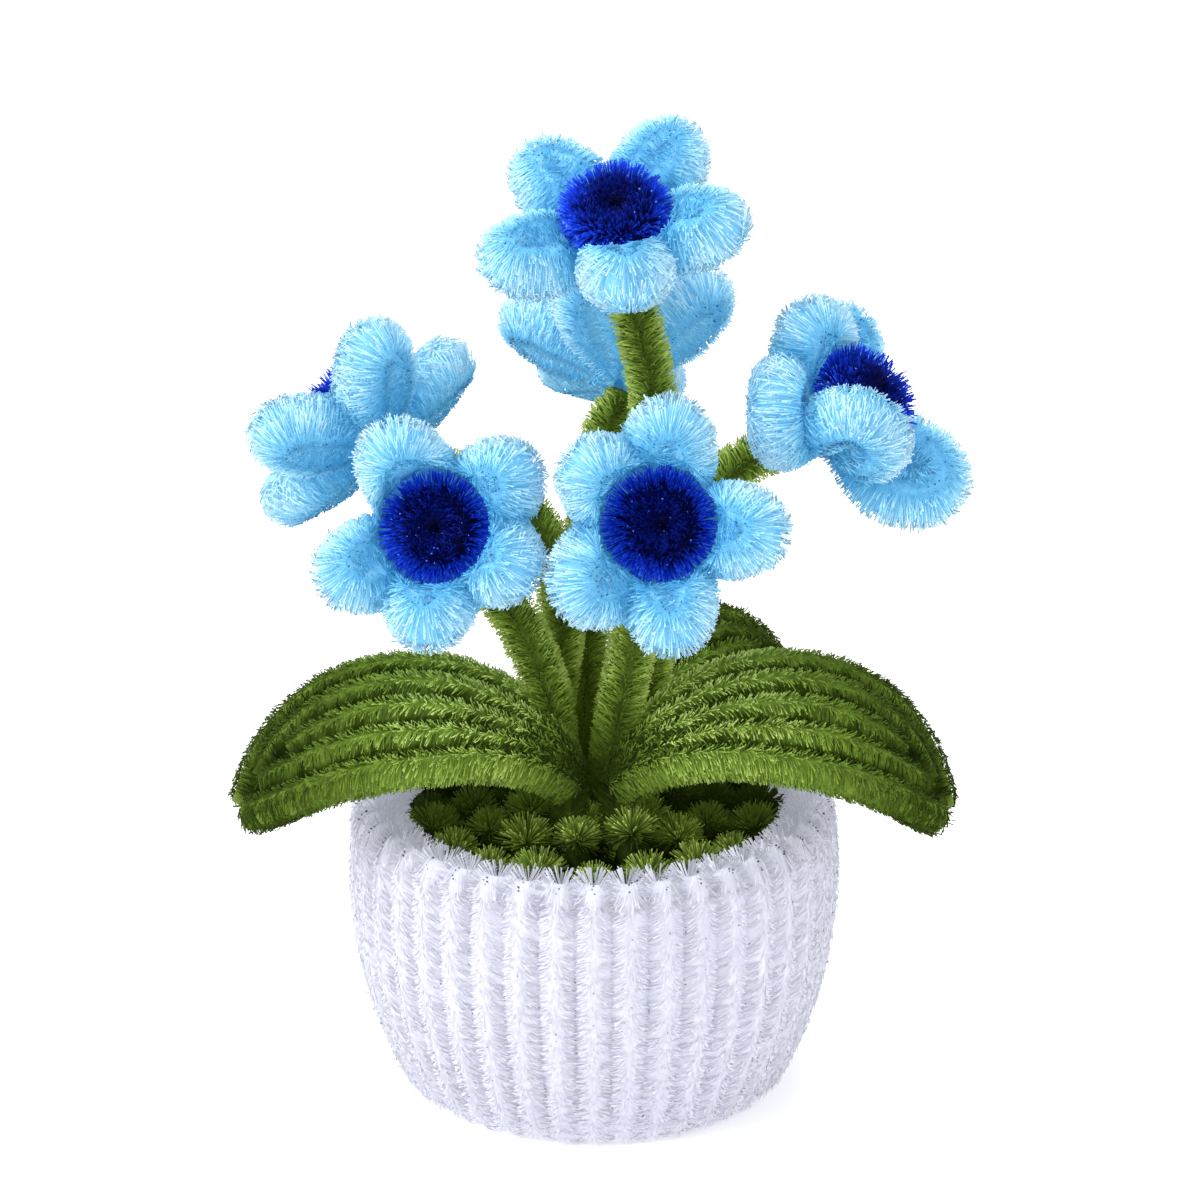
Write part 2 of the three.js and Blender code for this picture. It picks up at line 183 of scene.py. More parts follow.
def mesh_of(name, build):
    """A mesh of what a function builds."""
    mesh = bpy.data.meshes.new(name)
    bm = bmesh.new()
    build(bm)
    bm.to_mesh(mesh)
    bm.free()
    return mesh


def placed(name, data):
    """A new object in the scene."""
    made = bpy.data.objects.new(name, data)
    bpy.context.scene.collection.objects.link(made)
    return made


# Finishes

class Wire:
    """A socket of a finish. Sums and products of wires and numbers add Math nodes."""

    def __init__(self, finish, socket):
        self.finish = finish
        self.socket = socket

    def _with(self, operation, other):
        node = self.finish.node("ShaderNodeMath", dict(operation=operation), {0: self, 1: other})
        return Wire(self.finish, node.outputs[0])

    def __add__(self, other):
        return self._with("ADD", other)

    __radd__ = __add__

    def __mul__(self, other):
        return self._with("MULTIPLY", other)


# Sockets of a Mix node that blends colours, whose names are not unique
MIX_SHARE, MIX_FIRST, MIX_SECOND, MIX_RESULT = 0, 6, 7, 2


class Finish:
    """A material and its node tree."""

    def __init__(self, name):
        self.material = bpy.data.materials.new(name)
        self.material.use_nodes = True
        self.tree = self.material.node_tree
        self.surface = self.tree.nodes["Principled BSDF"]

    def node(self, kind, settings=None, sockets=None):
        made = self.tree.nodes.new(kind)
        for name, value in (settings or {}).items():
            if name == "stops":
                ramp = made.color_ramp
                while len(ramp.elements) < len(value):
                    ramp.elements.new(0.5)
                for element, (place, colour) in zip(ramp.elements, value):
                    element.position = place
                    element.color = (*colour, 1)
            else:
                setattr(made, name, value)
        for key, value in (sockets or {}).items():
            self.feed(made.inputs[key], value)
        return made

    def feed(self, socket, value):
        if isinstance(value, Wire):
            value = value.socket
        if isinstance(value, bpy.types.NodeSocket):
            self.tree.links.new(value, socket)
        else:
            socket.default_value = value

    def product(self, first, second):
        """Two colours multiplied."""
        mixed = self.node(
            "ShaderNodeMix", dict(data_type="RGBA", blend_type="MULTIPLY"),
            {MIX_SHARE: 1.0, MIX_FIRST: first, MIX_SECOND: second})
        return mixed.outputs[MIX_RESULT]


def linear(red, green, blue):
    """A colour in screen values, 0 to 255, as Blender's light values, by the sRGB curve."""
    shares = [value / 255 for value in (red, green, blue)]
    return tuple(s / 12.92 if s <= 0.04045 else ((s + 0.055) / 1.055) ** 2.4 for s in shares)


PILE_ROUGHNESS = 0.85


def pile_finish(name, stops, spread, sheen=0.0, gloss=0.06, glow=0.4, through=(1, 1, 1)):
    """Dyed pile with painted shade. The piece's map holds a fibre's own tint across and its depth
    upwards, and the stops give the colour at each depth, darker at low depths for painted shade.
    The glow is painted light, an emission that stands for the light that thin fibres let
    through, which takes on more of the dye."""
    finish = Finish(name)
    place = finish.node("ShaderNodeUVMap", dict(uv_map=PILE_MAP))
    split = finish.node("ShaderNodeSeparateXYZ", sockets={0: place.outputs[0]})
    tint, depth = Wire(finish, split.outputs["X"]), Wire(finish, split.outputs["Y"])
    dye_and_shade = finish.node(
        "ShaderNodeValToRGB",
        dict(stops=[(at, linear(*colour)) for at, colour in stops]), {0: depth})
    light = (1 - spread) + tint * (2 * spread)
    grey = finish.node("ShaderNodeCombineColor", sockets={0: light, 1: light, 2: light})
    shaded = finish.product(dye_and_shade.outputs[0], grey.outputs[0])
    finish.feed(finish.surface.inputs["Base Color"], shaded)
    passed = finish.product(shaded, (*through, 1))
    finish.feed(finish.surface.inputs["Emission Color"], passed)
    finish.surface.inputs["Emission Strength"].default_value = glow
    finish.surface.inputs["Roughness"].default_value = PILE_ROUGHNESS
    finish.surface.inputs["Sheen Weight"].default_value = sheen
    finish.surface.inputs["Specular IOR Level"].default_value = gloss
    return finish.material


petal_finish = pile_finish("petal_blue_pile", [
    (0.0, (6, 60, 104)), (0.12, (34, 110, 162)), (0.4, (80, 155, 197)),
    (0.7, (127, 186, 215)), (1.0, (182, 211, 227))], 0.02, sheen=0.1, glow=0.5,
    through=(0.86, 1, 1.06))
centre_finish = pile_finish("centre_blue_pile", [
    (0.0, (0, 0, 12)), (0.3, (0, 8, 80)), (0.7, (10, 50, 196)), (0.9, (46, 92, 222)),
    (1.0, (116, 148, 236))], 0.08, gloss=0.1)
stalk_finish = pile_finish("stalk_green_pile", [
    (0.0, (8, 12, 2)), (0.3, (50, 66, 16)), (0.7, (98, 122, 43)), (1.0, (162, 184, 98))], 0.05,
    through=(1, 1, 0.8))
leaf_finish = pile_finish("leaf_green_pile", [
    (0.0, (8, 12, 2)), (0.3, (46, 62, 14)), (0.7, (108, 135, 52)), (1.0, (182, 204, 120))], 0.04,
    through=(1, 1, 0.8))
moss_finish = pile_finish("moss_green_pile", [
    (0.0, (4, 7, 1)), (0.3, (38, 52, 11)), (0.7, (90, 112, 38)), (1.0, (176, 198, 106))], 0.08,
    glow=0.3, through=(1, 1, 0.8))
pot_finish = pile_finish("pot_white_pile", [
    (0.0, (70, 72, 84)), (0.1, (148, 150, 164)), (0.35, (180, 181, 193)), (0.7, (190, 191, 202)),
    (1.0, (198, 198, 208))], 0.012, glow=0.44, through=(0.98, 0.99, 1.04))


# Chenille stems

def unit(vectors):
    return vectors / np.maximum(1e-9, np.linalg.norm(vectors, axis=-1, keepdims=True))


def near_to(values, place, width):
    """1 at the place and 0 well away from it."""
    return np.exp(-((values - place) / width) ** 2)


class Stem:
    """One length of chenille: the line of its wire, the way its front faces, and its pile."""

    def __init__(self, line, front, pile):
        self.line = np.asarray(line, float)
        steps = np.linalg.norm(np.diff(self.line, axis=0), axis=1)
        self.reach = np.concatenate([[0], np.cumsum(steps)])
        self.along = unit(np.gradient(self.line, axis=0))
        front = np.broadcast_to(np.asarray(front, float), self.line.shape)
        lean = (front * self.along).sum(1, keepdims=True)
        self.front = unit(front - lean * self.along)
        self.side = np.cross(self.along, self.front)
        self.pile = np.broadcast_to(np.asarray(pile, float), len(self.line)).copy()

    def at(self, reach, what):
        values = getattr(self, what)
        if values.ndim == 1:
            return np.interp(reach, self.reach, values)
        return np.stack([np.interp(reach, self.reach, column) for column in values.T], 1)

    def out(self, reach, turn):
        """The way that points out of the wire at a turn from the front."""
        front, flank = unit(self.at(reach, "front")), unit(self.at(reach, "side"))
        return np.cos(turn)[:, None] * front + np.sin(turn)[:, None] * flank


def core_tube(bm, stem, share, rows, sides=8):
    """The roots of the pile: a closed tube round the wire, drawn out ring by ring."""
    places = np.linspace(0, stem.reach[-1], rows)
    centres = stem.at(places, "line")
    fronts = unit(stem.at(places, "front"))
    flanks = unit(stem.at(places, "side"))
    radii = stem.at(places, "pile") * share
    ring = bmesh.ops.create_circle(bm, cap_ends=True, segments=sides, radius=1)["verts"]
    number_of = {vert: number for number, vert in enumerate(ring)}
    edges = list(ring[0].link_faces[0].edges)
    for row in range(rows):
        if row > 0:
            grown = bmesh.ops.extrude_edge_only(bm, edges=edges)["geom"]
            ring = [item for item in grown if isinstance(item, bmesh.types.BMVert)]
            edges = [item for item in grown if isinstance(item, bmesh.types.BMEdge)]
            edges = [edge for edge in edges if edge.verts[0] in ring and edge.verts[1] in ring]
            former = number_of
            number_of = {
                vert: former[edge.other_vert(vert)]
                for vert in ring for edge in vert.link_edges if edge.other_vert(vert) in former}
        for vert, number in number_of.items():
            turn = 2 * math.pi * number / sides
            out = math.cos(turn) * fronts[row] + math.sin(turn) * flanks[row]
            vert.co = Vector(centres[row] + radii[row] * out)
    bmesh.ops.contextual_create(bm, geom=edges)


BLOCK_DOUBLINGS = 8
BLOCK_SIZE = 2 ** BLOCK_DOUBLINGS


def needle(bm):
    """A cone of three sides, which has the four corners of a fibre."""
    bmesh.ops.create_cone(bm, cap_ends=True, segments=3, radius1=1, radius2=0, depth=1)
    bmesh.ops.remove_doubles(bm, verts=bm.verts, dist=1e-4)


def needle_block(bm):
    """Many needles in one place, whose corners are moved to where the fibres have them."""
    bm.from_mesh(mesh_of("needle", needle))
    for _ in range(BLOCK_DOUBLINGS):
        bmesh.ops.duplicate(bm, geom=bm.verts[:] + bm.edges[:] + bm.faces[:])


BLOCK = mesh_of("needle_block", needle_block)


class Rows:
    """A table with one row for each fibre, whose columns are its attributes."""

    COLUMNS = ()

    def __init__(self, *columns):
        for name, values in zip(self.COLUMNS, columns):
            setattr(self, name, values)

    def only(self, chosen):
        return type(self)(*[getattr(self, name)[chosen] for name in self.COLUMNS])

    @classmethod
    def joined(cls, parts):
        return cls(*[
            np.concatenate([getattr(part, name) for part in parts]) for name in cls.COLUMNS])


class Tips(Rows):
    """Tips of a pile: where each fibre leaves the wire, where it comes to sight, where it ends,
    how far along and at which turn of which stem, and its depth."""

    COLUMNS = ("root", "base", "tip", "reach", "turn", "stem", "depth")

    def some(self, count, rng):
        """A number of tips drawn evenly from all of them."""
        return self.only(rng.permutation(len(self.tip))[:count])

    def deepen(self, values, places, shares):
        """Leaves the shares of the depths that belong to the values, given at some places."""
        self.depth = self.depth * np.interp(values, places, shares)


class Needles(Rows):
    """Fibres of a piece: four corners each, with the tint, depth and shading of each corner."""

    COLUMNS = ("corners", "tints", "depths", "normals")


# Combed fibres begin at a share of their tip's turn from the parting and of the pile's height,
# and their tips reach over the flank by a share of their turn
COMB_TURN = 0.35
COMB_OVER = 0.32
COMB_HEIGHT = 0.88
# Other fibres come to sight at this share of their length
SIGHT_SHARE = 0.3
# How far a tip is drawn to its lock's middle, and how much more a lock leans than one fibre
LOCK_PULL = 0.45
LOCK_LEAN = 1.6
LOCK_SCATTER = (12.9898, 78.233, 43758.5453)
# How far to the sides of a parting, in radians, the fibres are shorter and deeper in colour,
# which paints the shade in the parting
GROOVE_WIDTH = 0.4
SHADE_WIDTH = 0.55
# The stretch of a loop, to each side of its middle, where it turns back
TURN_BACK = 8
# Lengths as shares of the pile: the shortest lock's, what the longest adds, and the spread
FIBRE_LENGTH = 0.93
LOCK_LONGER = 0.08
LENGTH_SPREAD = (-0.05, 0.04)
# Single fibres that stand out: the share of all, and their length
STRAY_SHARE = 0.02
STRAY_LENGTH = 1.1


def locks_of(reach, turn, pile, width, number):
    """The middle of each fibre's lock along and round the stem, and the lock's value, 0 to 1."""
    middle = (np.floor(reach / width) + 0.5) * width
    cells = np.maximum(6, np.round(2 * math.pi * pile / width))
    middle_turn = (np.floor(turn / (2 * math.pi) * cells) + 0.5) * 2 * math.pi / cells
    by_reach, by_turn, spread = LOCK_SCATTER
    mixed = np.sin(middle * by_reach + middle_turn * by_turn + number) * spread
    return middle, middle_turn, mixed - np.floor(mixed)


def pile_of(stem, number, rng, count, parting, lean, groove, shade, lock=0.9,
            span=(-math.pi, math.pi), crowd=0, combed=0, rise=0, mottle=0.16, outward=0):
    """Fibres that stand out of one stem, gathered at their tips in locks of a given width. They
    are parted in front and behind, by a number of radians or a function of the reach.

    Beside the partings they are shorter by the groove's share and deeper in colour by the
    shade's, which paints the shade in the partings, and mottle is how much the locks differ in
    depth. Crowd is how much they gather towards the stem's ends. The combed share lies on the
    pile, away from the partings, and begins further up the stem by the rise. Outward is the share
    that stands on the outer side where a loop turns back."""
    half = stem.reach[-1] / 2
    drawn = rng.uniform(-1, 1, count)
    reach = half * (1 + (1 - crowd) * drawn + crowd * drawn ** 3)
    drawn = rng.uniform(*span, count)
    outer = rng.uniform(0, 1, count) < outward * near_to(reach, half, TURN_BACK)
    drawn = np.where(outer, np.abs(drawn), drawn)
    part = np.asarray(parting(reach) if callable(parting) else parting)
    turn = np.sign(drawn) * (part + (1 - 2 * part / math.pi) * np.abs(drawn))
    pile = stem.at(reach, "pile")
    lock_reach, lock_turn, lock_value = locks_of(reach, turn, pile, lock, number)
    tip_reach = reach + LOCK_PULL * (lock_reach - reach) + pile * (
        rng.normal(0, lean, count) + (lock_value - 0.5) * lean * LOCK_LEAN)
    tip_turn = turn + LOCK_PULL * (lock_turn - turn) + rng.normal(0, lean * 0.5, count)
    lying = rng.uniform(0, 1, count) < combed
    in_front = np.abs(turn) < math.pi / 2
    from_line = np.minimum(np.abs(turn), math.pi - np.abs(turn))
    if span[1] == math.pi:
        away = np.sign(turn) * np.where(in_front, 1, -1)
        tip_turn = tip_turn + away * np.where(lying, COMB_OVER * from_line, 0)
    from_parting = np.minimum(np.abs(tip_turn), math.pi - np.abs(tip_turn))
    spread = rng.uniform(*LENGTH_SPREAD, count)
    length = pile * (FIBRE_LENGTH + LOCK_LONGER * lock_value + spread)
    length = length * (1 - groove * near_to(from_parting, 0, GROOVE_WIDTH))
    stray = rng.uniform(0, 1, count) < STRAY_SHARE
    length = np.where(stray, length * STRAY_LENGTH, length)
    centre = stem.at(reach, "line")
    ahead = unit(stem.at(reach, "along"))
    out = stem.out(reach, tip_turn)
    tip = centre + unit(out + ((tip_reach - reach) / pile)[:, None] * ahead) * length[:, None]
    depth = 1 + mottle * (lock_value - 1 + rng.uniform(-0.6, 0.4, count))
    depth = depth * (1 - shade * near_to(from_parting, 0, SHADE_WIDTH))
    base = centre + (tip - centre) * SIGHT_SHARE
    begin = from_line * COMB_TURN
    base_turn = np.sign(turn) * np.where(in_front, begin, math.pi - begin)
    on_pile = stem.at(reach + rise, "line") + stem.out(reach + rise, base_turn) * (
        pile * COMB_HEIGHT * rng.uniform(0.9, 1.05, count))[:, None]
    base = np.where(lying[:, None], on_pile, base)
    return Tips(centre, base, tip, reach, turn, np.full(count, number), np.clip(depth, 0, 1))


# Stems are sampled at a step, and a tip's own stem counts only from this many piles away
SAMPLE_STEP = 1.2
OWN_REACH = 1.5
FAR_AWAY = 9.0
TIPS_AT_ONCE = 4096


def nearness(tips, stems):
    """How far each tip is from the nearest wire of another stem, or of another part of its own,
    as a share of that stem's pile."""
    points, radii, owners, reaches = [], [], [], []
    for number, stem in enumerate(stems):
        places = np.linspace(0, stem.reach[-1], max(8, int(stem.reach[-1] / SAMPLE_STEP)))
        points.append(stem.at(places, "line"))
        radii.append(stem.at(places, "pile"))
        owners.append(np.full(len(places), number))
        reaches.append(places)
    points, radii = np.concatenate(points), np.concatenate(radii)
    owners, reaches = np.concatenate(owners), np.concatenate(reaches)
    shares = np.empty(len(tips.tip))
    for start in range(0, len(tips.tip), TIPS_AT_ONCE):
        part = slice(start, start + TIPS_AT_ONCE)
        gap = np.linalg.norm(tips.tip[part, None] - points[None], axis=2) / radii
        own = (tips.stem[part, None] == owners) & (
            np.abs(tips.reach[part, None] - reaches) < OWN_REACH * radii)
        shares[part] = np.where(own, FAR_AWAY, gap).min(1)
    return shares


def blended(tips, stems, clear, least, hidden=0.72):
    """Leaves out the tips that end deep in another stem's pile, nearer than hidden, and deepens
    the colour of those that end close to it, nearer than clear, down to the least share: painted
    shade where stems meet."""
    shares = nearness(tips, stems)
    tips.deepen(shares, [hidden, clear], [least, 1])
    return tips.only(shares > hidden)


CREASE_SAMPLE = 3
CREASE_BOTTOM = 0.8


def crease_shade(stems, base, clear, least):
    """Depths for cores: the base value, and less where a second stem is nearer than clear."""
    def shade(places):
        shares = np.sort([
            (np.linalg.norm(places[:, None] - stem.line[None, ::CREASE_SAMPLE], axis=2)
             / stem.pile[::CREASE_SAMPLE]).min(1) for stem in stems], axis=0)
        return base * np.interp(shares[1], [CREASE_BOTTOM, clear], [least, 1])
    return shade


# A flat fibre's width at its base and tip, the range of widths, and its corners' steps in tint
BASE_WIDTH = 0.6
TIP_WIDTH = 0.75
WIDTH_RANGE = (0.6, 1.3)
TINT_STEPS = np.array([0, 0.02, 0.04, 0.05])


def needles(tips, rng, width, rough=0.12, deep=0.12):
    """One flat fibre for each tip: an edge at its base, and a wider one across it at the tip.
    It is shaded as the pile round it, but for a rough share. Deep is the base's depth as a share
    of the tip's, darker low in the fibre for painted shade inside the pile."""
    count = len(tips.tip)
    axis = unit(tips.tip - tips.base)
    near_edge = unit(np.cross(axis, rng.normal(0, 1, (count, 3))))
    far_edge = np.cross(axis, near_edge)
    wide = width * rng.uniform(*WIDTH_RANGE, (count, 1)) / 2
    corners = np.stack([
        tips.base - near_edge * wide * BASE_WIDTH, tips.base + near_edge * wide * BASE_WIDTH,
        tips.tip - far_edge * wide * TIP_WIDTH, tips.tip + far_edge * wide * TIP_WIDTH], 1)
    shading = unit(unit(tips.tip - tips.root) + rng.normal(0, rough, (count, 3)))
    normals = np.broadcast_to(shading[:, None], corners.shape)
    tints = rng.uniform(0.02, 0.94, count)[:, None] + TINT_STEPS
    depths = tips.depth[:, None] * np.array([deep, deep, 1, 1])
    return Needles(corners, tints, depths, normals)


def specks(stem, reach, turn, rng, height, size, depth):
    """Short ends that show between the fibres, in a colour of their own: dots of bare wire and
    other dark marks, and single light fibres that are painted glints. Their height is a share of
    the pile's."""
    count = len(reach)
    out, ahead = stem.out(reach, turn), unit(stem.at(reach, "along"))
    across = np.cross(out, ahead)
    foot = stem.at(reach, "line") + out * (stem.at(reach, "pile") * height)[:, None]
    wide = size * rng.uniform(0.7, 1.3, (count, 1))
    begin = rng.uniform(0, 2 * math.pi, count)
    ways = [
        np.cos(begin + third)[:, None] * ahead + np.sin(begin + third)[:, None] * across
        for third in (0, 2 * math.pi / 3, 4 * math.pi / 3)]
    lean = out + rng.normal(0, 0.25, (count, 3))
    corners = np.stack([*[foot + way * wide * 0.6 for way in ways], foot + lean * wide], 1)
    normals = np.broadcast_to(out[:, None], corners.shape)
    tints = rng.uniform(0.1, 0.9, count)[:, None] + np.array([0, 0.02, 0.04, 0.01])
    depths = np.broadcast_to(np.array([0.9, 1, 1.1, 1.05]) * depth, (count, 4))
    return Needles(corners, tints, depths, normals)


def filled_mesh(name, cores, blocks):
    """A mesh of the cores and then of so many blocks of needles, and the cores' number of
    corners. The cores are made a mesh first, so that theirs come first."""
    def all_cores(bm):
        for core in cores:
            core(bm)
        bmesh.ops.recalc_face_normals(bm, faces=bm.faces)

    def filled(bm):
        bm.from_mesh(core_mesh)
        for _ in range(blocks):
            bm.from_mesh(BLOCK)

    core_mesh = mesh_of("cores", all_cores)
    return mesh_of(name, filled), len(core_mesh.vertices)


def fibre_piece(name, nodes, finish, cores, fibres, core_depth, press=None):
    """Makes one piece of its cores and its fibres, and gives it its map, finish and place. The
    core's depth is a number or a function of its places, and press moves these."""
    blocks = len(fibres.corners) // BLOCK_SIZE
    fibres = fibres.only(slice(blocks * BLOCK_SIZE))
    mesh, core_count = filled_mesh(name, cores, blocks)
    place = np.empty(len(mesh.vertices) * 3)
    mesh.vertices.foreach_get("co", place)
    place = place.reshape(-1, 3)
    if press:
        place[:core_count] = press(place[:core_count])
    corners, normals = fibres.corners.copy(), fibres.normals.copy()
    sample = place[core_count:core_count + 4]
    turned = np.linalg.det(sample[1:] - sample[0]) > 0
    wrong = (np.linalg.det(corners[:, 1:] - corners[:, :1]) > 0) != turned
    corners[wrong] = corners[wrong][:, [0, 2, 1, 3]]
    normals[wrong] = normals[wrong][:, [0, 2, 1, 3]]
    rng = np.random.default_rng(SEED)
    base = core_depth(place[:core_count]) if callable(core_depth) else core_depth
    depth = np.concatenate([base + rng.uniform(-0.1, 0.1, core_count), fibres.depths.ravel()])
    tint = np.concatenate([rng.uniform(0.2, 0.8, core_count), fibres.tints.ravel()])
    place[core_count:] = corners.reshape(-1, 3)
    mesh.vertices.foreach_set("co", (place * MM).ravel())
    mesh.shade_smooth()
    owner = np.empty(len(mesh.loops), int)
    mesh.loops.foreach_get("vertex_index", owner)
    layer = mesh.uv_layers.new(name=PILE_MAP)
    layer.data.foreach_set("uv", np.stack([tint[owner], np.clip(depth, 0, 1)[owner]], 1).ravel())
    mesh.materials.append(finish)
    mesh.update()
    shading = np.concatenate([np.zeros((core_count, 3)), normals.reshape(-1, 3)])
    mesh.normals_split_custom_set_from_vertices(shading.tolist())
    piece = placed(name, mesh)
    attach(piece, BODY)
    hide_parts(*nodes)


# Blooms

def facing(bloom):
    azimuth, elevation = math.radians(bloom["azimuth"]), math.radians(bloom["elevation"])
    return np.array([
        math.cos(elevation) * math.cos(azimuth),
        math.cos(elevation) * math.sin(azimuth),
        math.sin(elevation)])


def hub_of(bloom):
    return np.array(bloom["disc"]) - facing(bloom) * bloom.get("back", DISC_BACK)


def bloom_axes(bloom):
    ahead = facing(bloom)
    upward = unit(np.array([0, 0, 1]) - ahead * ahead[2])
    return ahead, upward, np.cross(upward, ahead)


# A loop starts this far from the hub, and its pile opens between two distances from it. The
# smaller the bulge, the sooner the two legs part
PETAL_START = 2
PETAL_OPENS = (5, 14)
PETAL_BULGE = 0.35


def petal_stem(bloom, turn, cup, length=PETAL_LENGTH, half_loop=PETAL_HALF_LOOP, curl=0,
               twist=0):
    """A loop of chenille that leaves the hub and comes back to it, bound tighter at the hub."""
    ahead, upward, rightward = bloom_axes(bloom)
    angle, tilt = math.radians(turn), math.radians(cup)
    outward = rightward * math.cos(angle) + upward * math.sin(angle)
    sideways = -rightward * math.sin(angle) + upward * math.cos(angle)
    reach = outward * math.cos(tilt) + ahead * math.sin(tilt)
    bend = np.linspace(-math.pi, math.pi, 61)[:, None]
    grown = (1 + np.cos(bend)) / 2
    line = hub_of(bloom) + reach * (PETAL_START + (length - PETAL_START) * grown)
    front = np.cross(reach, sideways)
    twist = math.radians(twist)
    sideways, front = (
        sideways * math.cos(twist) + front * math.sin(twist),
        front * math.cos(twist) - sideways * math.sin(twist))
    line = line + sideways * half_loop * np.sin(bend) * grown ** PETAL_BULGE
    line = line + front * curl * np.sin(math.pi * grown)
    pile = np.interp(length * grown[:, 0], PETAL_OPENS, [PETAL_BOUND_PILE, PETAL_PILE])
    return Stem(line, front, pile)


def coil_stem(bloom, knob):
    """The centre's chenille: it winds out from the middle, then once round the edge."""
    ahead, upward, rightward = bloom_axes(bloom)
    turns = np.linspace(0, COIL_TURNS, 100)
    winding = [0, COIL_TURNS - 1]
    radius = np.interp(turns, winding, [COIL_START, DISC_RING_RADIUS])[:, None]
    raised = np.interp(turns, winding, [knob, 0])[:, None]
    pile = np.interp(turns, winding, [KNOB_PILE, DISC_PILE])
    turn = 2 * math.pi * turns[:, None]
    line = np.array(bloom["disc"]) + ahead * raised
    line = line + radius * (rightward * np.cos(turn) + upward * np.sin(turn))
    return Stem(line, ahead, pile)


def core_of(stem, share, **shape):
    return lambda bm: core_tube(bm, stem, share, **shape)


def from_axis(bloom, points):
    """Each point's distance from the line through the disc, and its height before the disc."""
    away = points - np.array(bloom["disc"])
    ahead = facing(bloom)
    return np.linalg.norm(np.cross(away, ahead), axis=1), away @ ahead


# Dots of wire on a petal: a row where the loop turns back, and single ones around it
DOT_ROW = np.arange(-3, 3.1, 1)
DOT_SINGLES = 5
DOT_REACH = 13


def wire_dots(stem, rng):
    """Dark dots of wire along the parting, in front and behind."""
    middle = stem.reach[-1] / 2
    spread = np.concatenate([DOT_ROW, rng.uniform(-DOT_REACH, DOT_REACH, DOT_SINGLES)])
    reach = np.concatenate([middle + spread + rng.normal(0, 0.2, len(spread))] * 2)
    behind = np.repeat([0, math.pi], len(spread))
    turn = behind + rng.normal(0, 0.1, len(reach)) + 0.07 * np.tile([-1, 1], len(spread))
    return specks(stem, reach, turn, rng, height=0.84, size=0.42, depth=0.06)


def around_disc(bloom, points, clear):
    """Moves the points that would stand in the disc out to its edge, and says how far."""
    ahead, disc = facing(bloom), np.array(bloom["disc"])
    radius, height = from_axis(bloom, points)
    foot = disc + height[:, None] * ahead
    clear = clear + DISC_FLARE * np.clip(height, 0, DISC_TOP)
    moved = foot + unit(points - foot) * clear[:, None]
    inside = (radius < clear) & (height > DISC_UNDERSIDE)
    return np.where(inside[:, None], moved, points), np.where(inside, clear - radius, 0)


GLINT_COUNT = 26


def painted_glints(coil, rng):
    """Single light fibres that stand out of the centre's pile: painted highlights, glints."""
    reach = rng.uniform(6, coil.reach[-1], GLINT_COUNT)
    turn = rng.uniform(-1.3, 1.3, GLINT_COUNT)
    return specks(coil, reach, turn, rng, height=0.9, size=0.34, depth=0.9)


PETAL_FIBRES = dict(
    count=4150, parting=0.04, lean=0.1, crowd=0.2, groove=0.2, shade=0.4, combed=0.65,
    mottle=0.12, outward=0.55)
# Distances from the hub between which fibres and cores reach their full depth; nearer the hub
# they are darker, painted shade
FIBRES_LIGHTEN = [10, 21]
CORES_LIGHTEN = [8, 19]
# Fibres that would stand in the disc are moved to a band outside it. Those that would move
# further or be drawn out longer are left out
EDGE_BAND = 1.2
MOST_MOVED = 8
LONGEST_FIBRE = 8
DOT_GAP = 1
CORE_GAP = 1.5
# Where the wires of two petals are nearer than this many piles, their colour deepens: painted
# shade where they meet
PETAL_MEET = 1.6


def make_petals(bloom_name, bloom, rng):
    hub = hub_of(bloom)
    hub_shade = bloom.get("hub_shade", HUB_SHADE)
    loops = [petal_stem(bloom, *petal) for petal in bloom["petals"]]
    tips = Tips.joined([
        pile_of(loop, i, rng, **PETAL_FIBRES) for i, loop in enumerate(loops)])
    tips.base = around_disc(bloom, tips.base, DISC_CLEAR + EDGE_BAND)[0]
    edge = DISC_CLEAR + rng.uniform(0, EDGE_BAND, len(tips.tip))
    tips.tip, moved = around_disc(bloom, tips.tip, edge)
    length = np.linalg.norm(tips.tip - tips.base, axis=1)
    tips = tips.only((moved < MOST_MOVED) & (length < LONGEST_FIBRE))
    tips = blended(tips, loops, clear=PETAL_MEET, least=bloom.get("least", 0.4))
    from_hub = np.linalg.norm(tips.tip - hub, axis=1)
    tips.deepen(from_hub, FIBRES_LIGHTEN, [hub_shade, 1])
    dots = Needles.joined([wire_dots(loop, rng) for loop in loops])
    radius, height = from_axis(bloom, dots.corners[:, 3])
    dots = dots.only((radius > DISC_CLEAR + DOT_GAP) | (height < DISC_UNDERSIDE))
    shade = crease_shade(loops, base=0.55, clear=PETAL_MEET, least=0.6)
    fibre_piece(
        f"petals_{bloom_name}_pile", [f"petals_{bloom_name}"], petal_finish,
        [core_of(loop, 0.72, rows=28, sides=10) for loop in loops],
        Needles.joined([dots, needles(tips, rng, width=0.38, rough=0.04, deep=0.5)]),
        lambda places: shade(places) * np.interp(
            np.linalg.norm(places - hub, axis=1), CORES_LIGHTEN, [hub_shade, 1]),
        lambda places: around_disc(bloom, places, DISC_CLEAR + CORE_GAP)[0])


CENTRE_FIBRES = dict(count=5000, parting=0.05, lean=0.15, lock=0.8, groove=0.12, shade=0.3)
CENTRE_LONGER = (-0.05, 0.26)
CENTRE_UNDERSIDE = -4
# Distances from the disc's middle, and the shares of the depth there: painted shade, darker
# towards the middle of the coil
CENTRE_RADII = [0, 1.6, 4, 8, 11]
CENTRE_DEPTHS = [0.04, 0.3, 0.54, 0.8, 1]


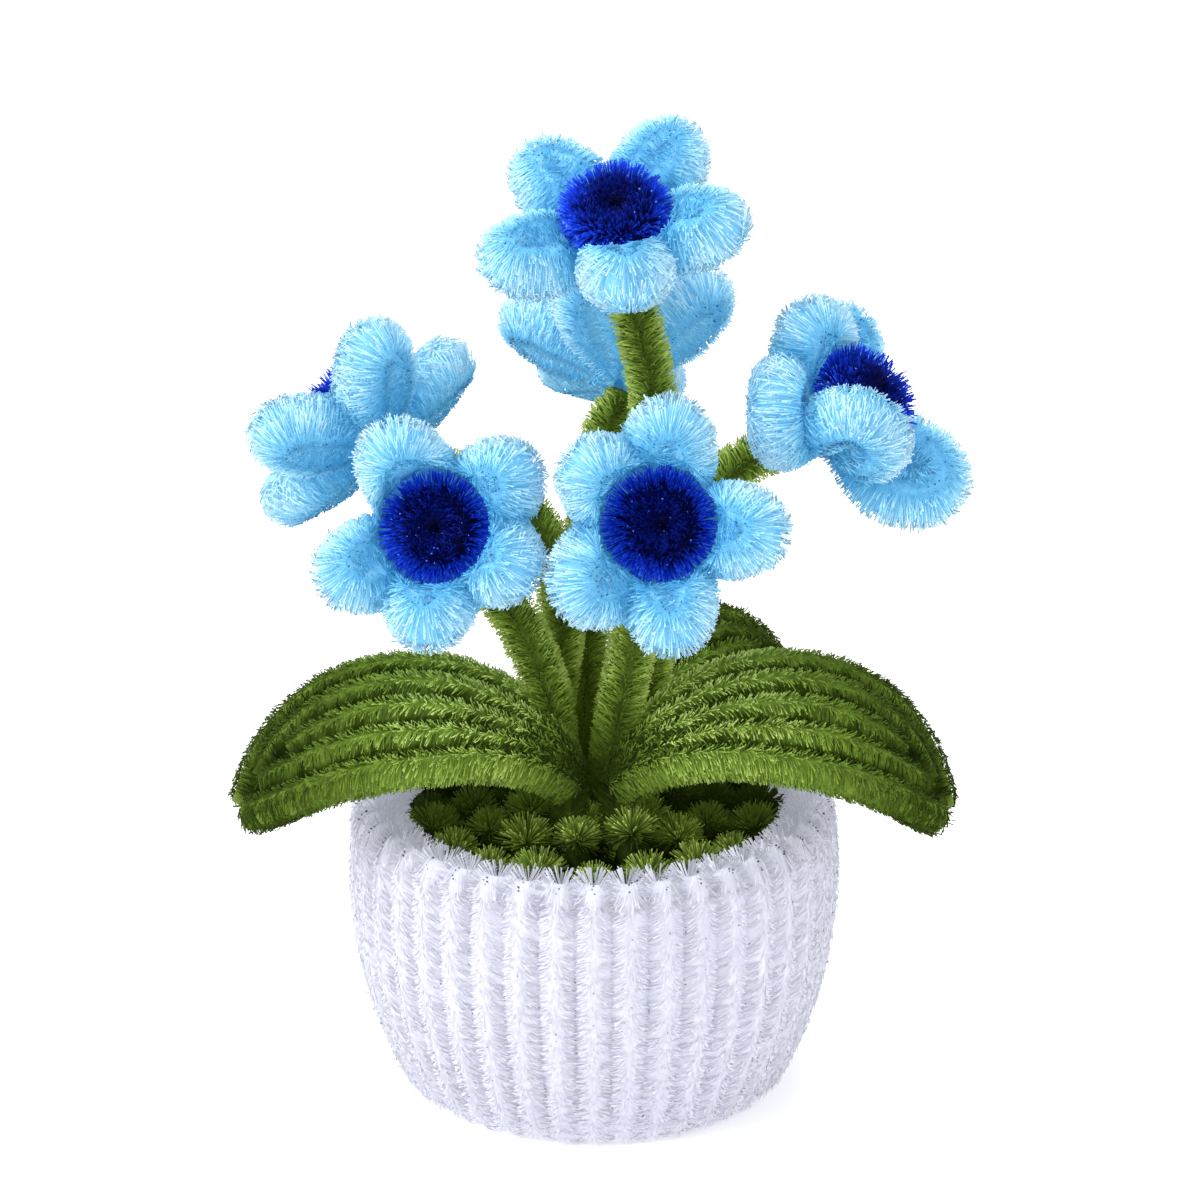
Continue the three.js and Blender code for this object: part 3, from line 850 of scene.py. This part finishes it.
def make_centre(bloom_name, bloom, rng):
    coil = coil_stem(bloom, bloom.get("knob", KNOB_HEIGHT))
    tips = pile_of(coil, 0, rng, **CENTRE_FIBRES)
    longer = 1 + rng.uniform(*CENTRE_LONGER, len(tips.tip))[:, None]
    tips.tip = tips.root + (tips.tip - tips.root) * longer
    radius, height = from_axis(bloom, tips.tip)
    tips.deepen(radius, CENTRE_RADII, CENTRE_DEPTHS)
    tips = tips.only(height > CENTRE_UNDERSIDE)
    tips = blended(tips, [coil], clear=0.85, least=0.6, hidden=0.62)
    fibre_piece(
        f"centre_{bloom_name}_pile", [f"centre_{bloom_name}"], centre_finish,
        [core_of(coil, 0.5, rows=36)],
        Needles.joined([painted_glints(coil, rng), needles(tips, rng, width=0.46)]), 0.12)


for number, (bloom_name, bloom) in enumerate(BLOOMS.items()):
    rng = np.random.default_rng(SEED + number)
    make_petals(bloom_name, bloom, rng)
    make_centre(bloom_name, bloom, rng)


# Stalks

def smooth_way(points, samples=60):
    """A centripetal Catmull-Rom curve through the points."""
    points = [np.array(point, float) for point in points]
    points = [2 * points[0] - points[1], *points, 2 * points[-1] - points[-2]]
    line = []
    spans = len(points) - 3
    for sample in range(samples + 1):
        span = min(spans - 1, sample * spans // samples)
        t = sample * spans / samples - span
        p0, p1, p2, p3 = points[span:span + 4]
        d0, d1, d2 = (max(1e-4, np.linalg.norm(b - a)) ** 0.5
                      for a, b in ((p0, p1), (p1, p2), (p2, p3)))
        m1 = ((p1 - p0) / d0 - (p2 - p0) / (d0 + d1) + (p2 - p1) / d1) * d1
        m2 = ((p2 - p1) / d1 - (p3 - p1) / (d1 + d2) + (p3 - p2) / d2) * d1
        line.append(
            p1 + m1 * t + (-3 * p1 + 3 * p2 - 2 * m1 - m2) * t ** 2
            + (2 * p1 - 2 * p2 + m1 + m2) * t ** 3)
    return np.array(line)


def eased(low, high, value):
    """0 up to the low value, 1 from the high one, and a smooth step between them."""
    share = np.clip((value - low) / (high - low), 0, 1)
    return share * share * (3 - 2 * share)


def stalk_stem(bloom):
    turn = math.radians(bloom["foot"])
    x, y = STALK_RING * math.cos(turn), STALK_RING * math.sin(turn)
    line = smooth_way([
        (x, y, STALK_FOOT_HEIGHT), (x, y, PLUG_TOP),
        (x * STALK_SPREAD, y * STALK_SPREAD, STALK_FREE_HEIGHT), *bloom["way"],
        hub_of(bloom) - STALK_END_GAP * facing(bloom)])
    steps = np.linalg.norm(np.diff(line, axis=0), axis=1)
    share = np.concatenate([[0], np.cumsum(steps)]) / steps.sum()
    full = STALK_FOOT_RADIUS + (STALK_RADIUS - STALK_FOOT_RADIUS) * eased(0.25, 0.6, share)
    pile = full + (STALK_END_RADIUS - full) * eased(0.94, 1, share)
    return Stem(line, (0, -1, 0.2), pile)


STALK_FIBRES = dict(
    parting=0.05, lean=0.12, groove=0.2, shade=0.4, combed=0.8, rise=-0.8, mottle=0.12)
STALK_FIBRES_PER_MM = 54
# Heights between which the stalks come out of the gloom at their feet
STALKS_LIGHTEN = [64, 88]
# The wire shows in the parting from above the moss to below the bloom
WIRE_START = 20
WIRE_END = 4
WIRE_STEP = 0.9
SUNK = 1

for number, (bloom_name, bloom) in enumerate(BLOOMS.items()):
    rng = np.random.default_rng(SEED + 20 + number)
    stalk = stalk_stem(bloom)
    count = int(STALK_FIBRES_PER_MM * stalk.reach[-1])
    tips = pile_of(stalk, 0, rng, count, **STALK_FIBRES)
    tips = tips.only(tips.tip[:, 2] > MOSS_TOP - SUNK)
    tips.deepen(tips.tip[:, 2], STALKS_LIGHTEN, [0.1, 1])
    reach = np.arange(WIRE_START, stalk.reach[-1] - WIRE_END, WIRE_STEP)
    turn = rng.normal(0, 0.05, len(reach))
    wire = specks(stalk, reach, turn, rng, height=0.84, size=0.34, depth=0.02)
    fibre_piece(
        f"stalk_{bloom_name}_pile", [f"stalk_{bloom_name}"], stalk_finish,
        [core_of(stalk, 0.72, rows=34)],
        Needles.joined([wire, needles(tips, rng, width=0.38, rough=0.04, deep=0.5)]), 0.3)


# Leaves

def bezier(points, share):
    """The places and ways at some shares of a cubic Bezier curve."""
    a, b, c, d = (np.array(point, float) for point in points)
    t = share[:, None]
    place = a * (1 - t) ** 3 + 3 * b * t * (1 - t) ** 2 + 3 * c * t ** 2 * (1 - t) + d * t ** 3
    way = 3 * (b - a) * (1 - t) ** 2 + 6 * (c - b) * t * (1 - t) + 3 * (d - c) * t ** 2
    return place, unit(way)


def leaf_strands(leaf):
    """Five stems side by side, which spread from the root and close at the leaf's tip."""
    strands = []
    for strand in (-2, -1, 0, 1, 2):
        end = STRAND_ENDS[abs(strand)]
        share = np.linspace(0, end, 61)
        spine, along = bezier(leaf["spine"], share)
        across = np.array(leaf["across"], float)
        across = unit(across - (along @ across)[:, None] * along)
        up = np.cross(along, across)
        up = np.where(up[:, 2:] < 0, -up, up)
        opened, curve = (NEAR_OPENED, NEAR_CURVE) if strand < 0 else (FAR_OPENED, 1)
        spread = leaf["root"] + (1 - leaf["root"]) * np.sin(
            np.minimum(1, share / opened) * math.pi / 2) ** curve
        closing = np.maximum(0, (share / end - CLOSING_FROM) / CLOSING_OVER)
        tip = np.sqrt(np.maximum(0.04, 1 - closing ** 3)) if strand else 1
        off = (leaf["half_width"] * strand / 2 * spread * tip)[:, None]
        line = spine + across * off - up * LEAF_DROOP * off ** 2
        strands.append(Stem(line, up, LEAF_PILE))
    return strands


LEAF_FIBRES = dict(
    parting=0.0, lean=0.1, groove=0.0, shade=0.0, combed=0.85, rise=-0.9, mottle=0.1)
LEAF_FIBRES_PER_MM = 60
# Places along a strand, as shares of the leaf's length, and the shares of the depth there, of
# the strand at the near edge and of the others: painted shade, darker at the root and where the
# tip hangs down
LEAF_PLACES = [0, 0.25, 0.6, 1]
NEAR_DEPTHS = [0.45, 0.9, 0.85, 0.35]
STRAND_DEPTHS = [0.2, 1, 0.95, 0.35]
# The same on the leaf's stem, by height, darker low down for a painted shadow, and on every
# strand, by the turn from its top, darker on the flanks for painted shade
STEM_HEIGHTS = [58, 68]
STEM_DEPTHS = [0.04, 0.4]
FLANK_TURNS = [0.3, 1.5]
FLANK_DEPTHS = [1, 0.92]

for number, (leaf_name, leaf) in enumerate(LEAVES.items()):
    rng = np.random.default_rng(SEED + 40 + number)
    strands = leaf_strands(leaf)
    root = np.array(leaf["spine"][0], float)
    foot = np.array([root[0], root[1], LEAF_FOOT_HEIGHT])
    stem = Stem(foot + (root - foot) * np.linspace(0, 1, 12)[:, None], (0, -1, 0), LEAF_PILE - 0.2)
    stems = [*strands, stem]
    parts = [
        pile_of(strand, i, rng, int(LEAF_FIBRES_PER_MM * strand.reach[-1]), **LEAF_FIBRES)
        for i, strand in enumerate(stems)]
    tips = blended(Tips.joined(parts), stems, clear=1.12, least=0.22)
    tips = tips.only(tips.tip[:, 2] > MOSS_TOP - SUNK)
    place = tips.reach / strands[2].reach[-1]
    tips.deepen(np.abs(tips.turn), FLANK_TURNS, FLANK_DEPTHS)
    on_strands = np.interp(place, LEAF_PLACES, STRAND_DEPTHS)
    on_near = np.interp(place, LEAF_PLACES, NEAR_DEPTHS)
    on_stem = np.interp(tips.tip[:, 2], STEM_HEIGHTS, STEM_DEPTHS)
    tips.depth = tips.depth * np.where(
        tips.stem == len(strands), on_stem, np.where(tips.stem == 0, on_near, on_strands))
    fibre_piece(
        f"{leaf_name}_pile", [leaf_name], leaf_finish,
        [core_of(strand, 0.76, rows=30) for strand in strands] + [core_of(stem, 0.7, rows=4)],
        needles(tips, rng, width=0.38, rough=0.04, deep=0.65),
        crease_shade(stems, base=0.5, clear=1.25, least=0.15))


# Pot

def belly(height):
    """The radius over the ribs at a height."""
    return BELLY_RADIUS * np.sqrt(1 - ((BELLY_HEIGHT - height) / BELLY_CURVE) ** 2)


def pot_shell(bm):
    """The liner that the ribs stand on: a profile spun round the axis, then pressed into ribs."""
    profile = [(0, 0.3), (BASE_RADIUS - 2, 0.3)]
    profile += [(float(belly(z)) - LINER_INSET, z) for z in LINER_HEIGHTS]
    profile += [
        (RIM_RADIUS + 2.6, 56.5), (RIM_RADIUS + 1.4, 58.6), (RIM_RADIUS - 0.6, 59.2),
        (RIM_RADIUS - 2.6, 58), (40.6, 54), (float(belly(PLUG_TOP)) - WALL, PLUG_TOP),
        (float(belly(FLOOR_HEIGHT)) - WALL, FLOOR_HEIGHT), (0, FLOOR_HEIGHT)]
    verts = [bm.verts.new((radius, 0, height)) for radius, height in profile]
    edges = [bm.edges.new(pair) for pair in zip(verts, verts[1:])]
    bmesh.ops.spin(
        bm, geom=verts + edges, cent=(0, 0, 0), axis=(0, 0, 1), dvec=(0, 0, 0),
        angle=2 * math.pi, steps=RIB_COUNT * LINER_STEPS, use_merge=True)
    bmesh.ops.remove_doubles(bm, verts=bm.verts, dist=0.01)
    for vert in bm.verts:
        radius = math.hypot(vert.co.x, vert.co.y)
        if radius > 41 and vert.co.z > 1:
            turn = math.atan2(vert.co.y, vert.co.x) * RIB_COUNT
            pressed = (radius - LINER_GROOVE * abs(math.cos(turn / 2)) ** 3) / radius
            vert.co.x *= pressed
            vert.co.y *= pressed
    bmesh.ops.recalc_face_normals(bm, faces=bm.faces)


def rib_stems():
    """Each rib's wire from the pot's foot to the rim, where it folds over and goes down inside."""
    heights = np.linspace(RIB_FOOT, RIB_TOP, 40)
    radii = belly(heights) - RIB_PILE
    fold = np.linspace(0, math.pi, 14)[1:]
    top = radii[-1]
    radii = np.concatenate([radii, top - FOLD_RADIUS + FOLD_RADIUS * np.cos(fold)])
    heights = np.concatenate([heights, FOLD_HEIGHT + FOLD_RADIUS * np.sin(fold)])
    ribs = []
    for rib in range(RIB_COUNT):
        turn = 2 * math.pi * (rib + 0.5) / RIB_COUNT
        out = np.array([math.cos(turn), math.sin(turn), 0])
        line = radii[:, None] * out + heights[:, None] * np.array([0, 0, 1.0])
        side = np.array([-math.sin(turn), math.cos(turn), 0])
        along = unit(np.gradient(line, axis=0))
        ribs.append(Stem(line, np.cross(side, along), RIB_PILE))
    return ribs


def pot_shade(places):
    """Lighter on the ribs and deeper in the grooves."""
    turn = np.arctan2(places[:, 1], places[:, 0]) * RIB_COUNT
    return 0.8 - 0.5 * np.abs(np.cos(turn / 2)) ** 3


RIB_FIBRES = dict(
    count=1450, parting=0.0, lean=0.06, lock=0.6, span=(-1.1, 1.1), groove=0.0, shade=0.08,
    combed=1, rise=1.2, mottle=0.05)
RIB_FIBRES_KEPT = 37300
RIM_FIBRES = dict(count=5200, lean=0.07, span=(-2.2, 2.2), groove=0.04, shade=0.1, mottle=0.08)
RIM_FIBRES_KEPT = 17000
RIM_LONGER = 1.1
# The ribs' pile reaches this far past the fold's start, and the rim's as far before it
FOLD_SHARED = 0.5
POT_UNDERSIDE = 0.25
# Dark marks on each rib: three along its front, where the wire shows, and six in the groove beside
# it
RIB_MARK_TURNS = np.repeat([0.0, 0.87], [3, 6])
RIM_MARKS = 4

rng = np.random.default_rng(SEED + 60)
ribs = rib_stems()
fold_start = ribs[0].reach[-1] - FOLD_RADIUS * math.pi
tips = Tips.joined([pile_of(rib, number, rng, **RIB_FIBRES) for number, rib in enumerate(ribs)])
# Painted shade: the fibres darken towards the grooves between the ribs
tips.deepen(np.abs(tips.turn), [0.7, 1.1], [1, 0.4])
tips = tips.only((tips.tip[:, 2] > POT_UNDERSIDE) & (tips.reach < fold_start + FOLD_SHARED))
tips = tips.some(RIB_FIBRES_KEPT, rng)
marks = Needles.joined([
    specks(
        rib, rng.uniform(3, fold_start - 3, len(RIB_MARK_TURNS)), RIB_MARK_TURNS, rng,
        height=0.97, size=0.3, depth=0.03)
    for rib in ribs])
fibre_piece(
    "pot_ribs_pile", ["pot"], pot_finish, [pot_shell],
    Needles.joined([marks, needles(tips, rng, width=0.34, rough=0.02, deep=0.7)]), pot_shade)


def rim_parting(reach):
    """The parting opens on top of the fold."""
    return 0.02 + 0.4 * near_to(reach, fold_start + 1.3, 1.5)


tips = Tips.joined([
    pile_of(rib, number, rng, parting=rim_parting, **RIM_FIBRES)
    for number, rib in enumerate(ribs)])
tips = tips.only(tips.reach > fold_start - FOLD_SHARED).some(RIM_FIBRES_KEPT, rng)
tips.tip = tips.root + (tips.tip - tips.root) * RIM_LONGER
# Painted shade: darker away from the front of each rib's fold, towards the grooves
tips.deepen(np.abs(tips.turn), [0.6, 1.5], [1, 0.6])
marks = Needles.joined([
    specks(
        rib, fold_start + rng.uniform(0.8, 1.7, RIM_MARKS), rng.normal(0, 0.07, RIM_MARKS), rng,
        height=0.86, size=0.42, depth=0)
    for rib in ribs])
fibre_piece(
    "pot_rim_pile", [], pot_finish, [],
    Needles.joined([marks, needles(tips, rng, width=0.36, rough=0.03, deep=0.7)]), 0.35)


# Moss

def mat(bm):
    """The flat mat that the tufts stand on, clear of the plug."""
    made = bmesh.ops.create_cone(
        bm, cap_ends=True, segments=48, radius1=MOSS_RADIUS, radius2=MOSS_RADIUS,
        depth=MOSS_TOP - PLUG_TOP - MAT_GAP)
    bmesh.ops.translate(bm, vec=(0, 0, (MOSS_TOP + PLUG_TOP + MAT_GAP) / 2), verts=made["verts"])


def tuft_core(x, y, size, rise):
    """A dome in the middle of a tuft, cut off flat inside the mat."""
    def dome(bm):
        made = bmesh.ops.create_uvsphere(bm, u_segments=12, v_segments=8, radius=1)["verts"]
        wide = TUFT_RADIUS * size * TUFT_CORE
        bmesh.ops.scale(bm, vec=(wide, wide, rise * TUFT_CORE), verts=made)
        bmesh.ops.translate(bm, vec=(x, y, TUFT_FOOT), verts=made)
        lowest = PLUG_TOP + 2 * MAT_GAP
        for vert in made:
            if vert.co.z < lowest:
                vert.co.z = lowest
    return dome


def tuft_tips(x, y, size, rise, number, rng):
    """Fibres that stand out of a tuft's middle, mostly upwards. Painted shade darkens those that
    point down, and the tufts towards the back, under the leaves.
    """
    around = rng.uniform(-math.pi, math.pi, TUFT_FIBRES)
    tilt = np.clip(rng.normal(0.5, 0.5, TUFT_FIBRES), -0.35, 1.35)
    way = np.stack([
        np.cos(tilt) * np.cos(around), np.cos(tilt) * np.sin(around), np.sin(tilt)], 1)
    middle = np.array([x, y, TUFT_FOOT + rise - TUFT_SINK])
    tip = middle + way * TUFT_RADIUS * size * rng.uniform(0.82, 1.1, TUFT_FIBRES)[:, None]
    depth = rng.uniform(0.65, 1, TUFT_FIBRES) * np.interp(tilt, [-0.35, 0.6], [0.25, 1])
    depth = depth * np.interp(y, [-20, -2, 8], [1, 0.55, 0.15])
    foot = np.broadcast_to(middle, tip.shape)
    still = np.zeros(TUFT_FIBRES)
    return Tips(foot, foot + way, tip, still, still, np.full(TUFT_FIBRES, number), depth)


rng = np.random.default_rng(SEED + 80)
cores, parts = [mat], []
for radius, count, turn, lift in TUFT_ROWS:
    for number in range(count):
        angle = (number + turn) / count * 2 * math.pi
        size = 0.95 + 0.1 * math.sin(number * 2.4 + radius)
        x, y = radius * math.cos(angle), radius * math.sin(angle)
        in_front = lift == MIDDLE_LIFT and abs(x) < 9 and y < 0
        rise = TUFT_HEIGHT * size + (FRONT_LIFT if in_front else lift)
        cores.append(tuft_core(x, y, size, rise))
        parts.append(tuft_tips(x, y, size, rise, len(parts), rng))
tips = Tips.joined(parts)
tips = tips.only(np.hypot(tips.tip[:, 0], tips.tip[:, 1]) < MOSS_RADIUS + MOSS_FRINGE)
fibre_piece(
    "moss_pile", ["moss"], moss_finish, cores,
    needles(tips, rng, width=0.36, rough=0.08, deep=0.3),
    # Painted shade: the mat and the tufts' cores are darker lower down
    lambda places: np.interp(places[:, 2], [MOSS_TOP, MOSS_TOP + TUFT_HEIGHT], [0.04, 0.2]))


# Foam plug: it keeps its shape and gets a finish of its own

foam = Finish("foam_green")
grain = foam.node("ShaderNodeTexNoise", sockets={"Scale": 900.0, "Detail": 4.0})
place = foam.node("ShaderNodeTexCoord")
foam.feed(grain.inputs["Vector"], place.outputs["Object"])
tone = foam.node(
    "ShaderNodeValToRGB", dict(stops=[(0.3, linear(20, 34, 12)), (0.7, linear(47, 74, 28))]),
    {0: grain.outputs[0]})
foam.feed(foam.surface.inputs["Base Color"], tone.outputs[0])
foam.surface.inputs["Roughness"].default_value = 0.95
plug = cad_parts["foam_plug"]
plug.data.materials.clear()
plug.data.materials.append(foam.material)


# Floor, light and camera. The lights' places, sizes and powers are in metres and watts

FLOOR_HALF_M = 6
FLOOR_COLOUR = (0.9, 0.9, 0.9, 1)
FLOOR_GLOW = 0.25
WORLD_GLOW = 1.02
LIGHTS = {
    "key_light": ((-1.4, -0.6, 1.2), 1.1, 27),
    "fill_light": ((1.1, -0.8, 0.7), 1.0, 1.5),
    "top_light": ((0.1, 0.3, 1.5), 0.8, 9),
}
LIGHT_AIM = Vector((0, 0, 0.1))
CAMERA_TARGET = Vector((1.25, 0, 101.5)) * MM
CAMERA_DISTANCE_M = 0.8
CAMERA_ELEVATION = math.radians(20)


def floor_square(bm):
    bmesh.ops.create_grid(bm, x_segments=1, y_segments=1, size=FLOOR_HALF_M)


def stage_floor():
    floor = placed("floor", mesh_of("floor", floor_square))
    finish = Finish("pale_floor")
    finish.surface.inputs["Base Color"].default_value = FLOOR_COLOUR
    finish.surface.inputs["Roughness"].default_value = 0.9
    finish.surface.inputs["Emission Color"].default_value = (1, 1, 1, 1)
    finish.surface.inputs["Emission Strength"].default_value = FLOOR_GLOW
    floor.data.materials.append(finish.material)


def soft_light(name, place, size, power):
    data = bpy.data.lights.new(name, "AREA")
    data.shape = "DISK"
    data.size = size
    data.energy = power
    light = placed(name, data)
    light.location = place
    light.rotation_euler = (LIGHT_AIM - Vector(place)).to_track_quat("-Z", "Y").to_euler()


stage_floor()
for light_name, settings in LIGHTS.items():
    soft_light(light_name, *settings)

world = bpy.data.worlds.new("studio")
bpy.context.scene.world = world
world.use_nodes = True
glow = world.node_tree.nodes["Background"].inputs
glow["Color"].default_value = (1, 1, 1, 1)
glow["Strength"].default_value = WORLD_GLOW
bpy.context.scene.view_settings.view_transform = "Standard"

camera_data = bpy.data.cameras.new("camera")
camera_data.lens = 120
camera_data.sensor_width = 36
camera = placed("camera", camera_data)
backward = Vector((0, -math.cos(CAMERA_ELEVATION), math.sin(CAMERA_ELEVATION)))
camera.location = CAMERA_TARGET + CAMERA_DISTANCE_M * backward
camera.rotation_euler = (CAMERA_TARGET - camera.location).to_track_quat("-Z", "Y").to_euler()
bpy.context.scene.camera = camera
